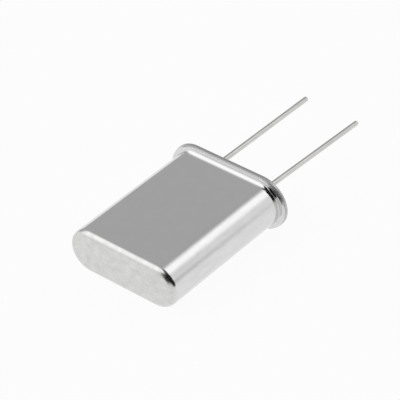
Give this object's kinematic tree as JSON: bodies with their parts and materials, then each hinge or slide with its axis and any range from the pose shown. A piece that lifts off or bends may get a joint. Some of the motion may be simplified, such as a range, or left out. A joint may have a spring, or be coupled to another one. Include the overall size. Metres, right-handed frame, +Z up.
{
  "type": "quartz crystal",
  "caption": "Quartz crystal resonator in a tall flanged metal can with full-round sides, a welded base and straight wire leads through glass seals.",
  "frame": {"origin": "on the surface that the crystal lies on, at the middle of its overall box in X and Y", "axes": "+Z up, +X across the can's width, +Y from the can towards the lead tips; the crystal leans 2.13 degrees about X, because its flange and its far bottom edge both touch the surface"},
  "size_m": [0.011, 0.0264, 0.0047],
  "materials": {
    "nickel_can": "satin",
    "nickel_base": "satin",
    "tinned_lead": "satin",
    "nickel_strip": "satin",
    "seal_glass": "gloss",
    "quartz": "satin",
    "silver_film": "satin",
    "silver_cement": "matte"
  },
  "bodies": {
    "root": {"can": "nickel_can", "header_base": "nickel_base", "glass_seal_left": "seal_glass", "glass_seal_right": "seal_glass", "lead_left": "tinned_lead", "lead_right": "tinned_lead", "spring_clip_left": "nickel_strip", "spring_clip_right": "nickel_strip", "quartz_blank": "quartz", "electrode_front": "silver_film", "electrode_rear": "silver_film", "adhesive_dab_left": "silver_cement", "adhesive_dab_right": "silver_cement"}
  },
  "joints": []
}
